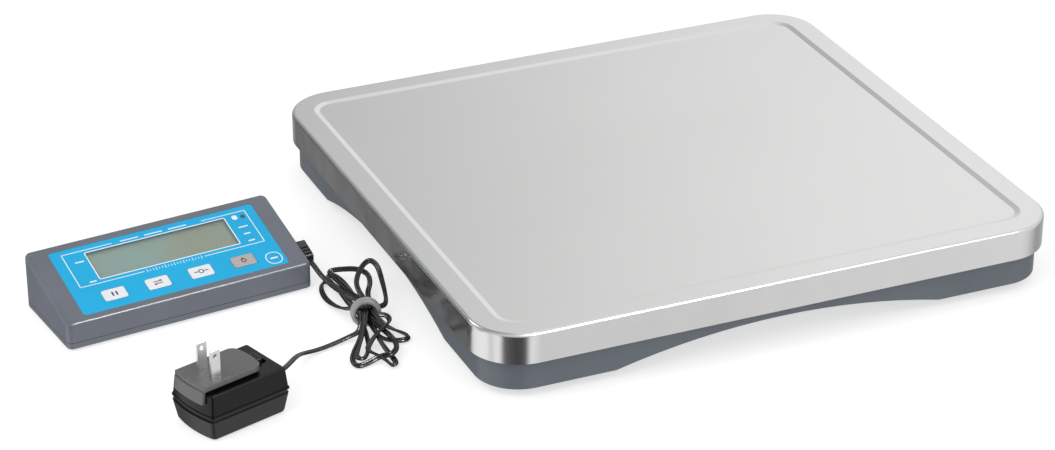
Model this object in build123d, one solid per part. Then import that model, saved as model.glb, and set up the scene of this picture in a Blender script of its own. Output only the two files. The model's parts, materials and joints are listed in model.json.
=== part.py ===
"""Bench scale: a steel platter on an arched plastic base with four load cells, a wedge-shaped
indicator with four keys, and a wall adapter on a tied twin lead.

Millimetres. +X runs along the base's width, +Y to its back, +Z up. The origin is the centre of
the base's footprint on the bench. The indicator and the adapter lie on the bench to the left.
"""
from build123d import *
import math
import os

# --- driving dimensions -----------------------------------------------------------------------
# platter: a pressed stainless tray turned over
WIDTH = 381.0
DEPTH = 357.0
HEIGHT = 44.0
SHEET = 1.2
SKIRT = 19.7
PLATTER_CORNER = 32.0
PLATTER_ROLL = 2.2
PAN_INSET = 17.0
PAN_SLOPE = 3.6
PAN_DROP = 0.8
PAN_CORNER = 13.0

# base: an open plastic shell with an arch in each side
BASE_INSET = 4.2
BASE_CORNER = 27.5
BASE_WALL = 3.0
BASE_LOW = 5.5
DECK_TOP = 39.7
ARCH_FRONT = (108.0, 18.0)
ARCH_SIDE = (100.0, 20.0)
RIB = 2.5
RIB_LOW = 29.0
RIB_X = 100.0
RIB_Y = 60.0
PAD_AT = (140.0, 125.0)
CELL_AT = (148.0, 135.0)
CELL = 40.0
CELL_LOW = 27.5
CELL_HIGH = 30.5
MOUNT_SIZE = 46.0
HUB_RADIUS = 12.0
HUB_POST = 2.5
FOOT_RADIUS = 18.0
FOOT_HIGH = 6.0
CELL_SCREW = 1.6
CELL_SCREW_OUT = 16.5
BOARD_Y = 110.0
BOARD_SIZE = (60.0, 40.0)
BOARD_LOW = 33.0
BOARD_HIGH = 34.6
BOARD_SCREW_AT = (26.0, 16.0)
COVER_SIZE = (72.0, 52.0)
COVER_LOW = 23.0
COVER_WALL = 2.0
COVER_SCREW_AT = (32.0, 22.0)
WIRE = 3.0
WIRE_Z = 34.7
SOCKET_X = -95.0
SOCKET_SIZE = (16.0, 18.0, 13.0)
SOCKET_Z = 16.0
PORT = (11.6, 7.4)

# indicator, in its own frame: x along its length, y to its back
CASE = (161.2, 66.4)
CASE_LOW = 1.0
CASE_FRONT = 17.9
CASE_BACK = 37.7
CASE_CORNER = 4.0
CASE_EDGE = 2.7
CASE_WALL = 2.0
CASE_PART = 5.4
CASE_GAP = 0.3
CASE_AT = (-392.9, -17.6)
CASE_TURN = 6.43
CASE_BOSSES = [(8.0, 8.0), (153.2, 8.0), (8.0, 58.4), (153.2, 58.4)]
CASE_PADS = [(21.0, 8.0), (140.2, 8.0), (10.5, 46.0), (150.7, 46.0)]
FILM = (135.6, 56.7)
FILM_Y = 33.3
FILM_THICK = 0.4
WINDOW = (92.4, 23.8)
WINDOW_Y = 43.0
KEY = (15.0, 9.2)
KEY_PITCH = 28.4
KEY_MIDDLE = 79.8
KEY_Y = 16.1
KEY_NAMES = ["hold", "unit", "tare", "zero"]
KEY_TRAVEL = 0.4
KEY_CLEAR = 0.25
LAMP = (138.9, 52.8)
BOARD_TOP = -5.4
BOARD_THICK = 1.6
BOARD_X = (15.7, 143.2)
BOARD_Y_SPAN = (9.6, 60.6)
BOARD_POSTS = [(19.5, 12.6), (141.2, 12.6), (21.2, 57.1), (140.2, 58.1)]
DOOR_X = (18.4, 74.0)
DOOR_FRONT = 36.8
JACK_Y = 26.0
JACK_Z = 14.3
CASE_PORT = (119.7, 14.6)

# wall adapter, in its own frame: x along its length, y away from the near side
ADAPTER_AT = (-346.8, -150.2)
ADAPTER_TURN = 17.8
BODY = (52.4, 37.6)
BODY_HIGH = 29.4
BODY_SEAM = 13.2
BODY_LEDGE = 15.9
BODY_BULGE = 2.6
BODY_WALL = 2.2
HEAD_X = (-2.2, 39.3)
HEAD_Y = (4.5, 32.6)
HEAD_Z = (31.3, 34.6)
RAIL_END = 35.0
APRON = (1.4, 1.6)
APRON_LOW = 23.4
BLADE = (6.35, 1.5, 17.5)
BLADE_X = 10.2
BLADE_Y = (10.5, 23.2)
TANG_Y = 14.6

LEAD_EXIT = (BODY[0] + 1.5, BODY[1] / 2, 14.5)

# power plug on the indicator's end, in the indicator's frame
PLUG_X = (161.8, 167.4)
PLUG_SIDE = [(10.0, 11.0), (10.0, 17.6), (22.4, 22.1), (29.5, 17.0), (29.5, 11.0)]
PLUG_RIBS = (11.8, 14.2, 16.6)
BARREL = (2.75, 1.25, 9.5)

# twin lead, in the bench frame: from the power plug to the hank, and from it to the adapter
LEAD = 3.0
PLUG_ROUTE = [(-231.1, 10.7, 14.3), (-230.5, 4.7, 14), (-230.1, -1.3, 12.8), (-229.5, -7.4, 11.8)]
ADAPTER_ROUTE = [
    (-228.2, -70.6, 5), (-235.7, -70.0, 2.6), (-245.8, -72.6, 1.7), (-257.4, -75.9, 1.7),
    (-266.5, -79.5, 3.6), (-273.2, -86.6, 7.4), (-279.3, -95.9, 11.2), (-285.5, -105.0, 13.8),
    (-292.4, -111.9, 14.6), (-300.9, -115.5, 14.5),
]
HANK_UPPER = [
    (-223, -47.8), (-230, -33.8), (-233.5, -17.8), (-232, -1.8), (-224, 7.2), (-216, 13.2), (-203, 2.2),
    (-196, -7.8), (-196, -23.8), (-199, -45.8), (-207, -49.8), (-215, -47.8),
]
HANK_LOWER = [
    (-226, -64.8), (-233, -69.8), (-240, -81.8), (-246, -95.8), (-245, -106.8), (-228, -103.8), (-222, -113.8),
    (-216, -105.8), (-208, -89.8), (-199.5, -83.8), (-204, -63.8), (-214, -62.8),
]
HANK_HIGH = (14.0, 8.5)
TIE_AT = (-219.5, -56.3, 9.2)
TIE_TURN = -12.0
TIE_RING = 7.7
TIE_SECTION = 1.45

INDICATOR = Pos(CASE_AT[0], CASE_AT[1], 0) * Rot(0, 0, CASE_TURN)
TILT = math.degrees(math.atan2(CASE_BACK - CASE_FRONT, CASE[1]))
FACE = INDICATOR * Pos(0, 0, CASE_FRONT) * Rot(TILT, 0, 0)
ADAPTER = Pos(ADAPTER_AT[0], ADAPTER_AT[1], 0) * Rot(0, 0, ADAPTER_TURN)
CORNERS = {
    "front_left": (-1, -1), "front_right": (1, -1), "rear_left": (-1, 1), "rear_right": (1, 1),
}


# --- helpers ----------------------------------------------------------------------------------
def keep(node, shape):
    """Write one sub-part to its own STEP file."""
    os.makedirs("parts", exist_ok=True)
    export_step(shape, "parts/" + node + ".step")


def block(x_span, y_span, z_span):
    """A box given by its low and high side in each direction."""
    size = [high - low for low, high in (x_span, y_span, z_span)]
    return Pos(x_span[0], y_span[0], z_span[0]) * Box(*size, align=(Align.MIN,) * 3)


def slab(x_size, y_size, z_span, corner, at=(0.0, 0.0)):
    """An upright plate with rounded corners, centred on at."""
    plate = extrude(RectangleRounded(x_size, y_size, corner), z_span[1] - z_span[0])
    return Pos(at[0], at[1], z_span[0]) * plate


def disc(radius, z_span, at=(0.0, 0.0)):
    """An upright cylinder centred on at."""
    return Pos(at[0], at[1], z_span[0]) * extrude(Circle(radius), z_span[1] - z_span[0])


def rod(radius, start, end):
    """A cylinder from one point to another."""
    along = Vector(*end) - Vector(*start)
    return Plane(origin=start, z_dir=along) * extrude(Circle(radius), along.length)


def top_edges(shape):
    """The edges of a shape's highest face."""
    return shape.faces().sort_by(Axis.Z)[-1].edges()


def bottom_edges(shape):
    """The edges of a shape's lowest face."""
    return shape.faces().sort_by(Axis.Z)[0].edges()


def span(centre, size):
    """The low and high side of a length centred on a place."""
    return (centre - size / 2, centre + size / 2)


def group(solids):
    """Separate solids that share a node."""
    return Compound(children=list(solids))


def screw(radius, head_radius, head_z, shank_z, at):
    """A pan-head screw with a driver slot, head down."""
    low, high = head_z
    head = disc(head_radius, head_z, at)
    slot = block(span(at[0], 2 * head_radius + 1), span(at[1], 0.8), (low - 1, low + 0.7))
    return head - slot + disc(radius, (high, shank_z), at)


# --- platter ----------------------------------------------------------------------------------
def pan_form():
    """The shallow sunk centre of the platter, as a solid."""
    half_slope = PAN_SLOPE / 2
    outer = PAN_INSET - half_slope
    inner = PAN_INSET + half_slope
    rim = RectangleRounded(WIDTH - 2 * outer, DEPTH - 2 * outer, PAN_CORNER + half_slope)
    floor = RectangleRounded(WIDTH - 2 * inner, DEPTH - 2 * inner, PAN_CORNER - half_slope)
    return loft([Pos(0, 0, HEIGHT - PAN_DROP) * floor, Pos(0, 0, HEIGHT) * rim], ruled=True)


def platter():
    """The stainless tray: rolled edge, deep skirt and sunk centre."""
    low = HEIGHT - SKIRT
    outside = slab(WIDTH, DEPTH, (low, HEIGHT), PLATTER_CORNER)
    outside = fillet(top_edges(outside), PLATTER_ROLL)
    inside = slab(WIDTH - 2 * SHEET, DEPTH - 2 * SHEET, (low - 1, HEIGHT - SHEET),
                  PLATTER_CORNER - SHEET)
    inside = fillet(top_edges(inside), PLATTER_ROLL - SHEET)
    pan = pan_form()
    return outside - (inside - Pos(0, 0, -SHEET) * pan) - pan


def platter_pads():
    """Four rubber discs on the deck, which the platter rests on."""
    x, y = PAD_AT
    high = HEIGHT - PAN_DROP - SHEET - 0.1
    return group(disc(9.0, (DECK_TOP, high), (sx * x, sy * y)) for sx, sy in CORNERS.values())


# --- base -------------------------------------------------------------------------------------
def arch(size, length):
    """A long cylinder that cuts an arch, of a half chord and a crown, out of both far walls."""
    half_chord, crown = size
    rise = crown - BASE_LOW
    radius = (half_chord ** 2 + rise ** 2) / (2 * rise)
    return Pos(0, 0, crown - radius) * Rot(90, 0, 0) * Cylinder(radius, length)


def wire_route(sx, sy):
    """The way of one load cell's wire under the deck, to the joining box."""
    x, y = CELL_AT
    start = sx * (x - MOUNT_SIZE / 2)
    box_x, box_y = COVER_SIZE[0] / 2, BOARD_Y - COVER_SIZE[1] / 2
    if sy > 0:
        return [(start, y, WIRE_Z), (sx * 85.0, y, WIRE_Z), (sx * 62.0, BOARD_Y, WIRE_Z),
                (sx * box_x, BOARD_Y, WIRE_Z)]
    return [(start, -y, WIRE_Z), (sx * 75.0, -y, WIRE_Z), (sx * 20.0, -75.0, WIRE_Z),
            (sx * 20.0, box_y, WIRE_Z)]


def bent_tube(route, radii, radius):
    """A round tube on straight runs joined by arcs."""
    path = FilletPolyline(*route, radius=radii)
    return sweep(Plane(origin=path @ 0, z_dir=path % 0) * Circle(radius), path=path)


def cell_wires():
    """Four wires, one from each load cell."""
    bends = [15.0, 15.0]
    return group(bent_tube(wire_route(sx, sy), bends, WIRE / 2) for sx, sy in CORNERS.values())


def base_shell():
    """The moulded base: deck, arched walls, ribs, bosses and the socket's opening."""
    width, depth = WIDTH - 2 * BASE_INSET, DEPTH - 2 * BASE_INSET
    shell = slab(width, depth, (BASE_LOW, DECK_TOP), BASE_CORNER)
    shell = fillet(top_edges(shell), 1.5)
    deck_low = DECK_TOP - BASE_WALL
    shell -= slab(width - 2 * BASE_WALL, depth - 2 * BASE_WALL, (BASE_LOW - 1, deck_low),
                  BASE_CORNER - BASE_WALL)
    for side in (-1, 1):
        shell += block(span(0, width - 2), span(side * RIB_Y, RIB), (RIB_LOW, deck_low))
        shell += block(span(side * RIB_X, RIB), span(0, depth - 2), (RIB_LOW, deck_low))
    room = block(span(0, COVER_SIZE[0]), span(BOARD_Y, COVER_SIZE[1]), (0, deck_low))
    shell -= room
    shell -= arch(ARCH_FRONT, DEPTH)
    shell -= Rot(0, 0, 90) * arch(ARCH_SIDE, WIDTH)
    for sx, sy in CORNERS.values():
        bx, by = BOARD_SCREW_AT
        shell += disc(3.5, (BOARD_HIGH, deck_low), (sx * bx, BOARD_Y + sy * by))
        shell -= disc(1.2, (BOARD_HIGH, deck_low + 1.2), (sx * bx, BOARD_Y + sy * by))
        cx, cy = COVER_SCREW_AT
        shell -= disc(1.4, (deck_low - 1, deck_low + 2), (sx * cx, BOARD_Y + sy * cy))
        shell -= bent_tube(wire_route(sx, sy), [15.0, 15.0], WIRE / 2 + 0.6)
        mx, my = CELL_AT
        for turn in (-1, 1):
            at = (sx * mx + turn * CELL_SCREW_OUT, sy * my - turn * CELL_SCREW_OUT)
            shell -= disc(CELL_SCREW, (deck_low - 1, deck_low + 2), at)
    x, z = PORT
    back = DEPTH / 2 - BASE_INSET
    shell -= block(span(SOCKET_X, x), (back - 5, back + 1), span(SOCKET_Z, z))
    return shell


def cell_mounts():
    """Four plastic frames between the deck and the load cells."""
    mounts = []
    for sx, sy in CORNERS.values():
        at = (sx * CELL_AT[0], sy * CELL_AT[1])
        frame = slab(MOUNT_SIZE, MOUNT_SIZE, (CELL_HIGH, DECK_TOP - BASE_WALL), 4.0, at)
        frame -= slab(26.0, 26.0, (CELL_HIGH - 1, DECK_TOP), 3.0, at)
        for turn in (-1, 1):
            hole = (at[0] + turn * CELL_SCREW_OUT, at[1] - turn * CELL_SCREW_OUT)
            frame -= disc(CELL_SCREW, (CELL_HIGH - 1, DECK_TOP), hole)
        mounts.append(frame)
    return group(mounts)


def load_cell(sx, sy):
    """A half-bridge cell: an outer frame with a sprung tongue cut free in its middle."""
    at = (sx * CELL_AT[0], sy * CELL_AT[1])
    z_span = (CELL_LOW, CELL_HIGH)
    cut = (CELL_LOW - 1, CELL_HIGH + 1)
    cell = slab(CELL, CELL, z_span, 5.0, at)
    for side in (-1, 1):
        cell -= block(span(at[0] + side * 11.5, 2.0), span(at[1], 24.0), cut)
        cell -= block(span(at[0] + side * 7.5, 7.0), span(at[1] + 11.0, 2.0), cut)
    cell -= disc(HUB_POST, cut, at)
    for turn in (-1, 1):
        hole = (at[0] + turn * CELL_SCREW_OUT, at[1] - turn * CELL_SCREW_OUT)
        cell -= disc(CELL_SCREW + 0.2, cut, hole)
    return cell


def cell_screws():
    """Two screws up through each load cell into the deck."""
    screws = []
    for sx, sy in CORNERS.values():
        for turn in (-1, 1):
            at = (sx * CELL_AT[0] + turn * CELL_SCREW_OUT, sy * CELL_AT[1] - turn * CELL_SCREW_OUT)
            screws.append(screw(CELL_SCREW, 2.9, (CELL_LOW - 2, CELL_LOW), 38.0, at))
    return group(screws)


def strain_gauges():
    """A pair of gauges on each load cell's tongue."""
    gauges = []
    for sx, sy in CORNERS.values():
        for side in (-1, 1):
            at = (sx * CELL_AT[0] + side * 6.0, sy * CELL_AT[1] - 5.0)
            gauges.append(slab(4.0, 7.0, (CELL_HIGH, CELL_HIGH + 0.4), 0.8, at))
    return group(gauges)


def foot_hub(at):
    """The plastic block between a load cell's tongue and its foot, with a locating post."""
    hub = disc(HUB_RADIUS, (FOOT_HIGH, CELL_LOW - 1.5), at)
    hub = chamfer(top_edges(hub), 1.0)
    hub += disc(5.0, (CELL_LOW - 1.5, CELL_LOW), at)
    hub += disc(HUB_POST, (CELL_LOW, CELL_HIGH + 1.2), at)
    return hub + disc(HUB_POST, (FOOT_HIGH - 3, FOOT_HIGH), at)


def foot(at):
    """A round rubber foot with a ringed sole."""
    sole = chamfer(bottom_edges(disc(FOOT_RADIUS, (0, FOOT_HIGH), at)), 1.2)
    sole -= disc(12.0, (-1, 0.8), at) - disc(10.0, (-1, 0.8), at)
    return sole - disc(HUB_POST, (FOOT_HIGH - 3, FOOT_HIGH + 1), at)


def at_corners(make):
    """One part made at each load cell's place."""
    x, y = CELL_AT
    return group(make((sx * x, sy * y)) for sx, sy in CORNERS.values())


def junction_board():
    """The circuit board where the four cells' wires join."""
    board = slab(*BOARD_SIZE, (BOARD_LOW, BOARD_HIGH), 2.0, (0, BOARD_Y))
    for sx, sy in CORNERS.values():
        at = (sx * BOARD_SCREW_AT[0], BOARD_Y + sy * BOARD_SCREW_AT[1])
        board -= disc(1.4, (BOARD_LOW - 1, BOARD_HIGH + 1), at)
    return board


def junction_parts():
    """The chip and the wire blocks under the joining board."""
    chip = slab(12.0, 12.0, (BOARD_LOW - 2, BOARD_LOW), 0.5, (0, BOARD_Y))
    blocks = [slab(14.0, 8.0, (BOARD_LOW - 6, BOARD_LOW), 0.8, (side * 14.0, BOARD_Y - 12.0))
              for side in (-1, 1)]
    return group([chip] + blocks)


def junction_screws():
    """Four screws that hold the joining board and four that hold its cover."""
    screws = []
    for sx, sy in CORNERS.values():
        at = (sx * BOARD_SCREW_AT[0], BOARD_Y + sy * BOARD_SCREW_AT[1])
        screws.append(screw(1.2, 2.4, (BOARD_LOW - 1.4, BOARD_LOW), BOARD_HIGH + 3, at))
        at = (sx * COVER_SCREW_AT[0], BOARD_Y + sy * COVER_SCREW_AT[1])
        screws.append(screw(1.4, 2.7, (COVER_LOW + 0.2, COVER_LOW + 1.8), DECK_TOP - 1.4, at))
    return group(screws)


def junction_cover():
    """The lid over the joining board, open to the deck."""
    deck_low = DECK_TOP - BASE_WALL
    x_size, y_size = COVER_SIZE
    wall = 2 * COVER_WALL
    cover = slab(x_size, y_size, (COVER_LOW, deck_low), 4.0, (0, BOARD_Y))
    cover = fillet(bottom_edges(cover), 1.5)
    cover -= slab(x_size - wall, y_size - wall, (COVER_LOW + COVER_WALL, deck_low + 1), 2.0,
                  (0, BOARD_Y))
    x, y = COVER_SCREW_AT
    for sx, sy in CORNERS.values():
        at = (sx * x, BOARD_Y + sy * y)
        cover += disc(3.0, (COVER_LOW + 1, deck_low), at)
        cover -= disc(1.6, (COVER_LOW - 1, deck_low + 1), at)
        cover -= disc(2.9, (COVER_LOW - 1, COVER_LOW + 1.8), at)
    return cover


def socket(size, mouth, depth):
    """A data socket: a housing with a mouth in its +Y face, centred on that face."""
    x, y, z = size
    body = fillet(block(span(0, x), (-y, 0), span(0, z)).edges().filter_by(Axis.Y), 1.0)
    body -= block(span(0, mouth[0]), (-depth, 1), span(0, mouth[1]))
    tongue = block(span(0, mouth[0] - 4), (-depth, -2.5), (mouth[1] / 2 - 1.2, mouth[1] / 2))
    return body + tongue


def data_socket_base():
    """The socket in the base's back wall for the indicator's lead."""
    back = DEPTH / 2 - BASE_INSET - BASE_WALL
    return Pos(SOCKET_X, back, SOCKET_Z) * socket(SOCKET_SIZE, PORT, 14.0)


# --- indicator --------------------------------------------------------------------------------
def wedge(inset):
    """The indicator's outer form, or the same form a wall's thickness inside it."""
    length, depth = CASE
    slope = (CASE_BACK - CASE_FRONT) / depth
    drop = inset / math.cos(math.radians(TILT))
    front = CASE_FRONT + slope * inset - drop
    back = CASE_BACK - slope * inset - drop
    low = CASE_LOW + inset
    side = Polyline((inset, low), (depth - inset, low), (depth - inset, back), (inset, front),
                    close=True)
    return Pos(inset, 0, 0) * extrude(Plane.YZ * make_face(side), length - 2 * inset)


def case_form():
    """The indicator's rounded outer form."""
    form = wedge(0)
    form = fillet(form.edges().filter_by(Axis.Z), CASE_CORNER)
    form = fillet(top_edges(form), CASE_EDGE)
    return fillet(bottom_edges(form), 1.0)


def case_room():
    """The space inside the indicator's walls."""
    room = wedge(CASE_WALL)
    return fillet(room.edges().filter_by(Axis.Z), CASE_CORNER - CASE_WALL)


def on_face(x_span, y_span, z_span, corner=0.0):
    """A plate in the frame of the sloping face, where z = 0 is the face."""
    at = (sum(x_span) / 2, sum(y_span) / 2)
    sizes = (x_span[1] - x_span[0], y_span[1] - y_span[0])
    if corner:
        return FACE * slab(*sizes, z_span, corner, at)
    return FACE * block(x_span, y_span, z_span)


def key_centre(index):
    """Where a key lies along the face."""
    return KEY_MIDDLE + (index - 1.5) * KEY_PITCH


def above(low):
    """Everything above a height in the indicator's frame."""
    return block((-5, CASE[0] + 5), (-5, CASE[1] + 5), (low, CASE_BACK + 5))


def case_top():
    """The upper case: sloping face, wall, screw posts and every opening in them."""
    room = case_room()
    case = case_form() - room
    for at in CASE_BOSSES:
        case += disc(3.5, (8.2, CASE_BACK), at) & wedge(CASE_WALL / 2)
        case -= disc(1.3, (8.0, 16.0), at)
    case &= above(CASE_PART)
    case -= block((DOOR_X[0] + 0.1, DOOR_X[1] - 0.1), (62.4, 64.4), (CASE_PART - 1, 6.0))
    wall = CASE[0]
    case -= rod(3.5, (wall - 5, JACK_Y, JACK_Z), (wall + 5, JACK_Y, JACK_Z))
    case -= block(span(CASE_PORT[0], PORT[0]), (CASE[1] - 5, CASE[1] + 5),
                  span(CASE_PORT[1], PORT[1]))
    case = INDICATOR * case
    centre = CASE[0] / 2
    case -= on_face(span(centre, FILM[0] + 0.2), span(FILM_Y, FILM[1] + 0.2), (-0.5, 5), 2.1)
    case -= on_face(span(centre, WINDOW[0] + 6), span(WINDOW_Y, WINDOW[1] + 6), (-1.5, 0))
    case -= on_face(span(centre, WINDOW[0] + 2), span(WINDOW_Y, WINDOW[1] + 2), (-4, 0))
    for index in range(len(KEY_NAMES)):
        hole = (KEY[0] + 2 * KEY_CLEAR, KEY[1] + 2 * KEY_CLEAR)
        case -= on_face(span(key_centre(index), hole[0]), span(KEY_Y, hole[1]), (-4, 0), 1.6)
    case -= FACE * disc(1.6, (-4, 1), LAMP)
    for at in BOARD_POSTS:
        case += FACE * (disc(2.5, (BOARD_TOP, -CASE_WALL + 0.5), at)
                        - disc(1.0, (BOARD_TOP - 1, -CASE_WALL), at))
    return case


def case_bottom():
    """The lower case: a tray with a lip, screw bosses, the battery's walls and door opening."""
    tray = (case_form() - case_room()) - above(CASE_PART - CASE_GAP)
    outer = CASE_WALL + 0.05
    inner = outer + 1.05
    middle = (CASE[0] / 2, CASE[1] / 2)
    lip = slab(CASE[0] - 2 * outer, CASE[1] - 2 * outer, (2.9, 8.0), 2.0, middle)
    lip -= slab(CASE[0] - 2 * inner, CASE[1] - 2 * inner, (2.0, 9.0), 1.0, middle)
    tray += lip
    for at in CASE_BOSSES:
        tray += disc(3.5, (2.9, 8.1), at)
        tray -= disc(1.7, (0, 9.0), at)
        tray -= disc(3.0, (0, 4.0), at)
    low, high = DOOR_X
    tray += block((low - 1.5, low - 0.3), (DOOR_FRONT - 1.2, 63.3), (2.9, 18.0))
    tray += block((high + 0.3, high + 1.5), (DOOR_FRONT - 1.2, 63.3), (2.9, 18.0))
    tray += block((low - 1.5, high + 1.5), (DOOR_FRONT - 1.2, DOOR_FRONT), (2.9, 18.0))
    tray -= block((low, high), (DOOR_FRONT, CASE[1] + 5), (0, 9.0))
    tray -= block((low - 1.3, high + 1.3), (DOOR_FRONT + 1, CASE[1] + 5), (1.7, 2.7))
    return INDICATOR * tray


def battery_door():
    """The door in the tray: a plate with side tongues, a lip at the back and a grip."""
    low, high = DOOR_X[0] + 0.3, DOOR_X[1] - 0.3
    door = block((low, high), (DOOR_FRONT + 0.3, CASE[1]), (CASE_LOW, 2.6))
    door += block((low, high), (64.4, CASE[1]), (CASE_LOW, CASE_PART - CASE_GAP - 0.1))
    door += block((low - 1.0, high + 1.0), (DOOR_FRONT + 1.5, 62.9), (1.9, 2.5))
    for step in range(5):
        door -= block(span((low + high) / 2, 14.0), span(52.4 + 2.0 * step, 0.8), (0, 1.5))
    return INDICATOR * door


def case_screws():
    """Four screws up through the tray into the upper case's posts."""
    return INDICATOR * group(screw(1.3, 2.7, (2.2, 4.0), 15.0, at) for at in CASE_BOSSES)


def case_pads():
    """Four small rubber discs under the tray."""
    return INDICATOR * group(disc(4.0, (0, CASE_LOW), at) for at in CASE_PADS)


def face_film():
    """The printed film on the face, open over the window, the keys and the lamp."""
    film = slab(*FILM, (-0.45, -0.45 + FILM_THICK), 2.0, (CASE[0] / 2, FILM_Y))
    film -= slab(*WINDOW, (-1, 1), 0.8, (CASE[0] / 2, WINDOW_Y))
    for index in range(len(KEY_NAMES)):
        hole = [side + 2 * KEY_CLEAR for side in KEY]
        film -= slab(*hole, (-1, 1), 1.6, (key_centre(index), KEY_Y))
    return FACE * (film - disc(1.6, (-1, 1), LAMP))


def window_lens():
    """The clear pane behind the film's window."""
    sizes = (WINDOW[0] + 5.6, WINDOW[1] + 5.6)
    return on_face(span(CASE[0] / 2, sizes[0]), span(WINDOW_Y, sizes[1]), (-1.5, -0.5))


def lcd_glass():
    """The liquid crystal display behind the pane."""
    return on_face(span(CASE[0] / 2, 104.0), span(WINDOW_Y, 32.0), (-5.0, -2.2))


def lcd_frame():
    """The frame that holds the display to the main board."""
    frame = on_face(span(CASE[0] / 2, 107.0), span(WINDOW_Y, 35.0), (BOARD_TOP, -2.2))
    return frame - on_face(span(CASE[0] / 2, 104.2), span(WINDOW_Y, 32.2), (-5.2, 0))


def key(index):
    """One key: cap, retaining flange and stem."""
    at = (key_centre(index), KEY_Y)
    cap = slab(*KEY, (-2.6, 0.3), 1.3, at)
    cap = fillet(top_edges(cap), 0.35)
    cap += slab(KEY[0] + 3, KEY[1] + 3, (-3.3, -2.2), 1.5, at)
    return FACE * (cap + disc(2.0, (-4.0, -3.2), at))


def key_switches():
    """The four dome switches under the keys."""
    domes = []
    for index in range(len(KEY_NAMES)):
        dome = disc(3.5, (BOARD_TOP, BOARD_TOP + 0.9), (key_centre(index), KEY_Y))
        domes.append(chamfer(top_edges(dome), 0.4))
    return FACE * group(domes)


def main_board():
    """The main circuit board behind the face."""
    board = on_face(BOARD_X, BOARD_Y_SPAN, (BOARD_TOP - BOARD_THICK, BOARD_TOP))
    for at in BOARD_POSTS:
        board -= FACE * disc(1.2, (BOARD_TOP - 3, BOARD_TOP + 1), at)
    return board


def board_screws():
    """Four screws that hold the main board to the face."""
    low = BOARD_TOP - BOARD_THICK
    return FACE * group(screw(1.0, 2.2, (low - 1.2, low), -2.5, at) for at in BOARD_POSTS)


def board_parts():
    """The processor and a can capacitor under the main board."""
    low = BOARD_TOP - BOARD_THICK
    chip = slab(14.0, 14.0, (low - 1.6, low), 0.5, (111.7, 40.1))
    return FACE * group([chip, disc(4.0, (low - 7, low), (79.7, 24.1))])


def buzzer():
    """The key beeper under the main board."""
    low = BOARD_TOP - BOARD_THICK
    return FACE * (disc(6.0, (low - 5, low), (101.7, 20.1))
                   - disc(1.0, (low - 6, low - 3), (101.7, 20.1)))


def status_lamp():
    """The small dark lamp window above the display's corner."""
    lamp = disc(1.55, (-2.8, -0.1), LAMP) + disc(2.5, (-3.6, -2.2), LAMP)
    return FACE * lamp


def dc_jack():
    """The power jack behind the right end wall, with its centre pin."""
    end = CASE[0] - CASE_WALL
    body = block((end - 14, end - 0.1), span(JACK_Y, 9.0), (JACK_Z - 5.0, JACK_Z + 5.0))
    body += rod(3.4, (end - 1, JACK_Y, JACK_Z), (end + 1.8, JACK_Y, JACK_Z))
    body -= rod(2.8, (end - 12, JACK_Y, JACK_Z), (end + 5, JACK_Y, JACK_Z))
    pin = rod(1.0, (end - 12.5, JACK_Y, JACK_Z), (end - 2, JACK_Y, JACK_Z))
    return INDICATOR * (body + pin)


def data_socket_case():
    """The socket in the indicator's back wall for the lead from the base."""
    place = INDICATOR * Pos(CASE_PORT[0], CASE[1] - CASE_WALL - 0.1, CASE_PORT[1])
    return place * socket((15.0, 14.0, 12.0), PORT, 11.0)


def battery():
    """A nine-volt block with its two studs."""
    cell = fillet(block((25.7, 70.6), (37.4, 63.8), (2.9, 20.3)).edges().filter_by(Axis.X), 1.8)
    big = rod(3.6, (22.9, 43.9, 11.6), (25.8, 43.9, 11.6))
    small = rod(2.7, (22.9, 56.9, 11.6), (25.8, 56.9, 11.6))
    return INDICATOR * (cell + big + small)


def battery_snap():
    """The plate that clips on the battery's studs."""
    plate = fillet(block((21.1, 22.9), (38.9, 61.9), (6.5, 16.7)).edges().filter_by(Axis.X), 2.0)
    return INDICATOR * plate


# --- wall adapter -----------------------------------------------------------------------------
def body_outline(grow, z):
    """The adapter's plan at a height: a rectangle whose left end bows out."""
    left, right = -grow, BODY[0] + grow
    near, far = -grow, BODY[1] + grow
    middle = (near + far) / 2
    bow = ThreePointArc((left, far), (left - BODY_BULGE, middle), (left, near))
    rest = Polyline((left, near), (right, near), (right, far), (left, far))
    return Pos(0, 0, z) * make_face([bow, rest])


def body_block(grow_low, grow_high, z_span, corner):
    """The adapter's form between two heights, with rounded upright corners."""
    block_form = loft([body_outline(grow_low, z_span[0]), body_outline(grow_high, z_span[1])])
    upright = [edge for edge in block_form.edges() if abs(edge.tangent_at(0).Z) > 0.7]
    return fillet(upright, corner)


def adapter_top():
    """The upper shell: drafted sides, a ledge at the seam and the way for the plug head."""
    shell = body_block(0.9, -0.3, (BODY_LEDGE, BODY_HIGH), 1.8)
    shell = fillet(top_edges(shell), 1.6)
    shell += body_block(1.4, 1.3, (BODY_LEDGE, BODY_LEDGE + 0.9), 2.0)
    shell -= body_block(-1.6, -2.4, (BODY_LEDGE - 1, BODY_HIGH - BODY_WALL), 1.0)
    shell -= block((-9, RAIL_END), (12.7, 24.9), (26.0, 31.0))
    shell -= block((-9, RAIL_END), (10.2, 27.4), (24.2, 27.4))
    latch_room = slab(8.0, 12.4, (26.0, 31.0), 2.5, (44.4, 18.8))
    return ADAPTER * (shell - latch_room - exit_hole(2.4, 8.0))


def adapter_bottom():
    """The lower shell: a rounded tub with a set-back collar at the seam."""
    tub = body_block(-0.8, 1.4, (0, BODY_SEAM), 3.6)
    tub = fillet(bottom_edges(tub), 3.0)
    tub += body_block(0.3, 0.3, (BODY_SEAM - 0.5, BODY_LEDGE), 1.6)
    tub -= body_block(-2.6, -1.6, (2.4, BODY_LEDGE + 1), 1.2)
    return ADAPTER * (tub - exit_hole(2.4, 8.0))


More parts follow.
